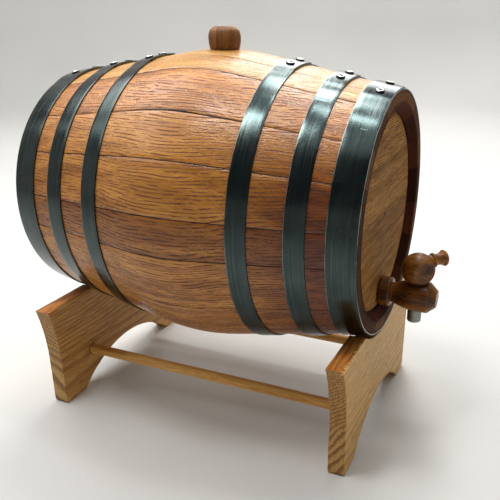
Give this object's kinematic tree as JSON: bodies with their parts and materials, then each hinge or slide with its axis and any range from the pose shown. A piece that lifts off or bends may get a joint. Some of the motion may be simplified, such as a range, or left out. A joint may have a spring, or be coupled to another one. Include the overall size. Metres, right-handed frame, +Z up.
{
  "type": "oak cask liquor dispenser",
  "caption": "Coopered oak cask lying on a dowelled board stand, with riveted steel hoops, a lift-out bung and a turned wooden tap whose key turns in the front head.",
  "frame": {"origin": "under the middle of the whole object's box, on the surface that the stand's feet rest on", "axes": "+X along the cask axis toward the tap, +Z up, +Y across the cask"},
  "size_m": [0.2942, 0.21, 0.2828],
  "materials": {
    "stave_oak": "glossy varnish over orange-brown oak, grain along the staves",
    "head_oak": "matt pale tan oak",
    "hoop_steel": "brushed round the hoop, lightly lacquered",
    "rivet_steel": "plain domed steel",
    "turned_wood": "varnished mid-brown turned wood",
    "handle_wood": "varnished reddish turned wood",
    "tube_metal": "plain drawn metal",
    "stand_oak": "light sawn oak, varnished thinly",
    "dowel_wood": "light turned dowel"
  },
  "bodies": {
    "stand": {"front_cradle": "stand_oak", "rear_cradle": "stand_oak", "near_dowel": "dowel_wood", "far_dowel": "dowel_wood"},
    "cask": {"bung_stave": "stave_oak", "stave_02": "stave_oak", "stave_03": "stave_oak", "stave_04": "stave_oak", "stave_05": "stave_oak", "stave_06": "stave_oak", "stave_07": "stave_oak", "stave_08": "stave_oak", "stave_09": "stave_oak", "stave_10": "stave_oak", "stave_11": "stave_oak", "stave_12": "stave_oak", "stave_13": "stave_oak", "stave_14": "stave_oak", "stave_15": "stave_oak", "stave_16": "stave_oak", "stave_17": "stave_oak", "stave_18": "stave_oak", "front_head_board_1": "head_oak", "front_head_board_2": "head_oak", "front_head_board_3": "head_oak", "front_head_board_4": "head_oak", "rear_head_board_1": "head_oak", "rear_head_board_2": "head_oak", "rear_head_board_3": "head_oak", "rear_head_board_4": "head_oak", "front_head_hoop": "hoop_steel", "front_quarter_hoop": "hoop_steel", "front_bilge_hoop": "hoop_steel", "rear_head_hoop": "hoop_steel", "rear_quarter_hoop": "hoop_steel", "rear_bilge_hoop": "hoop_steel", "front_head_hoop_rivets": "rivet_steel", "front_quarter_hoop_rivets": "rivet_steel", "front_bilge_hoop_rivets": "rivet_steel", "rear_head_hoop_rivets": "rivet_steel", "rear_quarter_hoop_rivets": "rivet_steel", "rear_bilge_hoop_rivets": "rivet_steel", "spigot_body": "turned_wood"},
    "tap_key": {"key_stem_tube": "tube_metal", "key_ball": "turned_wood", "key_handle": "handle_wood"},
    "bung": {"bung": "turned_wood"}
  },
  "joints": [
    {"name": "cask_lift", "type": "slide", "parent": "stand", "child": "cask", "axis": [0, 0, 1], "range_m": [0, 0.06]},
    {"name": "key_turn", "type": "hinge", "parent": "cask", "child": "tap_key", "pos_m": [0.12787, 0, 0.10553], "axis": [0, 0, 1], "continuous": true},
    {"name": "bung_lift", "type": "slide", "parent": "cask", "child": "bung", "axis": [0, 0, 1], "range_m": [0, 0.04]}
  ]
}
